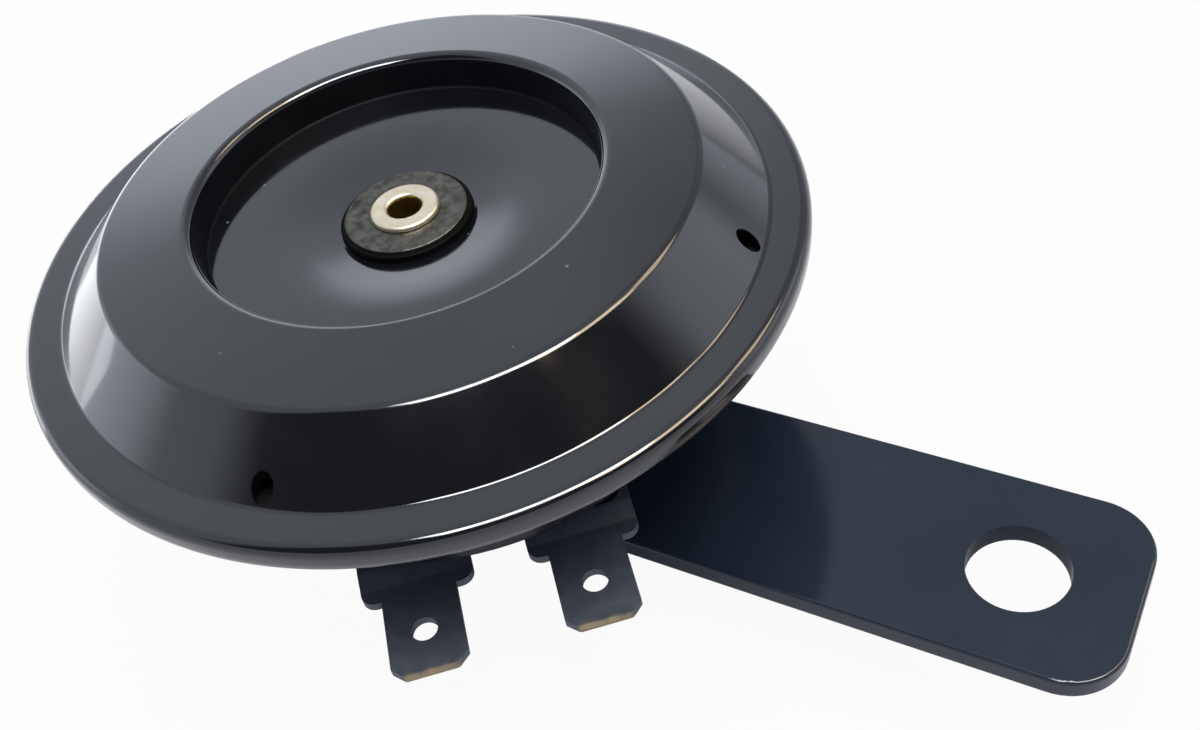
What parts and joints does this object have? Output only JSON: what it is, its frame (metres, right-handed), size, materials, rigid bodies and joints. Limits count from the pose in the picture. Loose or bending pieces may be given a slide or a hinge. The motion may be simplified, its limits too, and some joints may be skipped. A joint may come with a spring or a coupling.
{
  "type": "electric disc horn",
  "caption": "Small round electric horn: pressed sound disc with a rolled hem over a shallow bowl, blade terminals and a flat strip bracket with a bolt hole.",
  "frame": {"origin": "centre of the bracket's bolt hole, on the bracket's back face", "axes": "+X along the bracket away from the horn, +Z along the bolt hole and the horn's axis, towards the horn's front"},
  "size_m": [0.0971, 0.068, 0.0399],
  "materials": {
    "black_gloss_paint": "gloss",
    "housing_paint": "semi-gloss",
    "bracket_paint": "satin",
    "spacer_rubber": "satin",
    "washer_steel": "satin",
    "rivet_steel": "plated, satin",
    "terminal_steel": "plated, dull",
    "zinc_steel": "zinc plated, satin",
    "gasket_paper": "matte",
    "spring_steel": "satin",
    "magnet_iron": "dull",
    "bobbin_nylon": "matte",
    "winding_wire": "enamelled copper wire, gloss",
    "insulating_board": "matte",
    "contact_metal": "satin",
    "rivet_brass": "satin"
  },
  "bodies": {
    "root": {"adjusting_nut": "zinc_steel", "adjusting_screw": "zinc_steel", "armature": "magnet_iron", "bracket": "bracket_paint", "breaker_carrier": "zinc_steel", "carrier_rivets": "zinc_steel", "centre_rivet": "rivet_steel", "centre_spacer": "spacer_rubber", "centre_washer": "washer_steel", "coil_bobbin": "bobbin_nylon", "coil_winding": "winding_wire", "contact_arm": "zinc_steel", "contact_leaf": "spring_steel", "core_nut": "zinc_steel", "core_washer": "zinc_steel", "diaphragm": "spring_steel", "fixed_contact": "contact_metal", "front_cover": "black_gloss_paint", "front_gasket": "gasket_paper", "inner_insulator": "insulating_board", "inner_washer": "zinc_steel", "lower_insulator": "insulating_board", "middle_insulator": "insulating_board", "mounting_nut": "zinc_steel", "moving_contact": "contact_metal", "outer_insulator": "insulating_board", "pole_core": "magnet_iron", "rear_gasket": "gasket_paper", "rear_housing": "housing_paint", "solder_tags": "rivet_brass", "spring_washer": "zinc_steel", "stack_rivet": "zinc_steel", "terminal_coil": "terminal_steel", "terminal_contact": "terminal_steel", "terminal_rivets": "rivet_brass", "upper_insulator": "insulating_board"}
  },
  "joints": []
}
